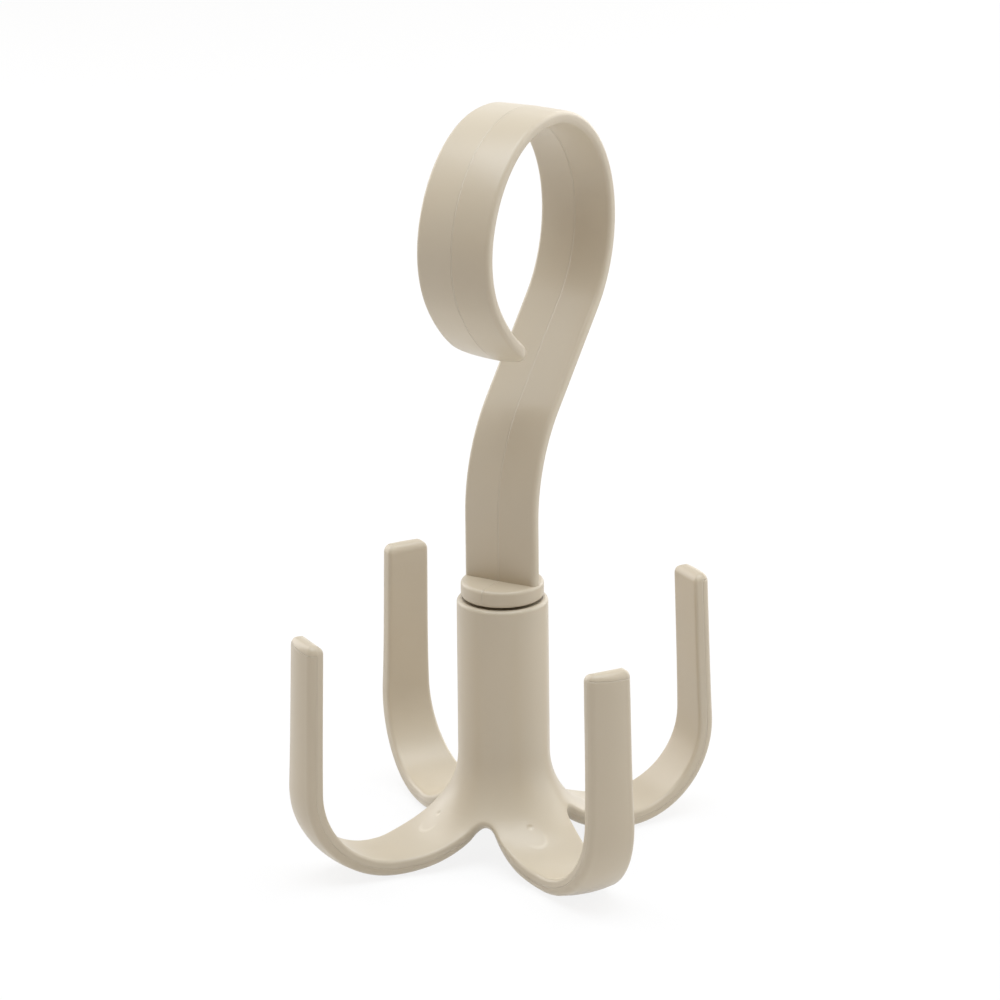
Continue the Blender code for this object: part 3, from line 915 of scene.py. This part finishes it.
def hub_finish(claw):
    """Cream with the claws' parting lines and the lines under their tips, painted shade on the claws'
    outer halves, and painted highlights on the pin's marks.
    """
    finish = Finish("satin_cream_claws")
    along, across, beyond = [finish.attribute(name) for name in SKIN_PLACES]
    under_cap = claw.line.length - TIP_LINE - across * TIP_LINE_SLANT - along
    # The claws' outer halves, past the root, get painted shade
    painted_shade_outer_half = beyond.above(0) * along.above(claw.root_end)
    side_line = finish.line(beyond, LINE_WIDTH) * along.above(claw.root_end) * under_cap.above(0)
    cap_line = finish.line(under_cap, LINE_WIDTH) * beyond.above(0)
    ahead, aside = along - PIN_MARK_ALONG, across - PIN_MARK_ACROSS
    rim = finish.line(finish.far_from(ahead, aside) - PIN_MARK_RADIUS, PAINTED_HIGHLIGHT_WIDTH)
    uphill = ahead * 2 * PIN_TILT_ALONG + aside * 2 * PIN_TILT_ACROSS
    far_side = (uphill / PIN_MARK_RADIUS).limit()
    beside = finish.far_from(along - DIMPLE_ALONG - DIMPLE_RADIUS / 2, across - DIMPLE_ACROSS)
    spot = finish.line(beside, DIMPLE_RADIUS)
    upper_skin = 1 - beyond.above(-PARTING_SHARE * TUBE_WALL)
    # Painted highlight: the far side of the pin mark's rim and a spot beside the dimple, on the upper
    # skin
    painted_highlight = (rim * far_side).higher(spot) * upper_skin * PAINTED_HIGHLIGHT_SHARE
    moulded_cream(finish, side_line.higher(cap_line), painted_shade_outer_half, painted_highlight)
    return finish.material


def strap_finish():
    """Cream with the parting line down the middle of the strap's faces and over the collar, and painted
    shade on one half.
    """
    finish = Finish("satin_cream_strap")
    x, y, z = finish.axes()
    across = x * math.sin(HOOK_TURN) - y * math.cos(HOOK_TURN)
    above_pin = z.above(COLLAR_BOTTOM)
    # The half on the positive side of the middle line, above the pin, gets painted shade
    moulded_cream(finish, finish.line(across, LINE_WIDTH) * above_pin, across.above(0) * above_pin)
    return finish.material


def zinc_finish(name):
    """Plated steel: turning rings, and patches where the plating is bluer."""
    finish = Finish(name)
    x, y, _ = finish.axes()
    rings = (finish.far_from(x, y) * (math.tau / RING_PITCH)).maths('SINE')
    patches = finish.noise(PATCH_SIZE, detail=3.0)
    tone = finish.mix(patches.limit(), ZINC, ZINC_BLUE)
    grain = finish.bump(rings, RING_DEPTH)
    roughness = ZINC_ROUGHNESS + patches * PATCH_ROUGHNESS
    finish.set(Base_Color=tone, Metallic=1.0, Roughness=roughness, Normal=grain)
    return finish.material


# Room and light

def ground_finish():
    """Pale ground that looks white to the camera and in reflections, but keeps the object's shadow."""
    finish = Finish("pale_ground")
    finish.set(Base_Color=FLOOR_COLOUR, Roughness=FLOOR_ROUGHNESS, Specular_IOR_Level=0.0)
    glow = finish.node("ShaderNodeEmission", {}, {"Color": WHITE, "Strength": 1.0})
    share = finish.background_share(FLOOR_GLOW)
    blend = finish.node("ShaderNodeMixShader", {}, {0: share, 1: finish.shader.outputs[0], 2: glow})
    finish.feed(finish.tree.nodes["Material Output"].inputs["Surface"], blend)
    return finish.material


def add_floor():
    bm = bmesh.new()
    bmesh.ops.create_grid(bm, x_segments=1, y_segments=1, size=FLOOR_HALF)
    floor = mesh_object("pale_floor", bm)
    floor.data.materials.append(ground_finish())


def add_world():
    world = bpy.data.worlds.new("studio")
    bpy.context.scene.world = world
    world.use_nodes = True
    shading = Shading(world.node_tree)
    room = shading.tree.nodes["Background"]
    shading.feed(room.inputs["Color"], ROOM_COLOUR)
    shading.feed(room.inputs["Strength"], WORLD_LEVEL)
    white = shading.node("ShaderNodeBackground", {}, {"Color": WHITE, "Strength": 1.0})
    share = shading.background_share(1.0)
    blend = shading.node("ShaderNodeMixShader", {}, {0: share, 1: room.outputs[0], 2: white})
    shading.feed(shading.tree.nodes["World Output"].inputs["Surface"], blend)


def face_middle(thing, azimuth, elevation, distance, roll=0.0):
    """Stands a lamp or the camera in its place, facing the middle of the object."""
    level = math.cos(elevation)
    back = Vector((math.sin(azimuth) * level, -math.cos(azimuth) * level, math.sin(elevation)))
    thing.location = Vector((0, 0, PHOTO_AIM)) + back * distance
    thing.rotation_mode = 'QUATERNION'
    thing.rotation_quaternion = (-back).to_track_quat('-Z', 'Y') @ Quaternion((0, 0, 1), roll)


def add_softbox(name, azimuth, elevation, distance, width, height, power, colour):
    light = bpy.data.lights.new(name, 'AREA')
    light.shape = 'RECTANGLE'
    light.size, light.size_y = width, height
    light.energy = power
    light.color = colour
    turn = PHOTO_AZIMUTH + math.radians(azimuth)
    face_middle(add_to_scene(name, light), turn, math.radians(elevation), distance)


def add_camera():
    data = bpy.data.cameras.new("photo_camera")
    data.sensor_width = SENSOR_WIDTH
    data.lens = PHOTO_LENS
    data.shift_x = PHOTO_SHIFT
    data.clip_start, data.clip_end = CLIP_NEAR, CLIP_FAR
    camera = add_to_scene("photo_camera", data)
    face_middle(camera, PHOTO_AZIMUTH, PHOTO_ELEVATION, PHOTO_DISTANCE, PHOTO_ROLL)
    bpy.context.scene.camera = camera


def paint(piece, material):
    piece.data.materials.clear()
    piece.data.materials.append(material)


def main():
    add_camera()
    hub, claw = make_claw_hub()
    paint(hub, hub_finish(claw))
    paint(make_suspension_hook(), strap_finish())
    paint(make_swivel_washer(), zinc_finish("zinc_washer"))
    paint(make_retaining_screw(), zinc_finish("zinc_screw"))
    add_floor()
    add_world()
    for softbox in SOFTBOXES:
        add_softbox(*softbox)
    bpy.context.scene.view_settings.view_transform = 'Standard'


main()
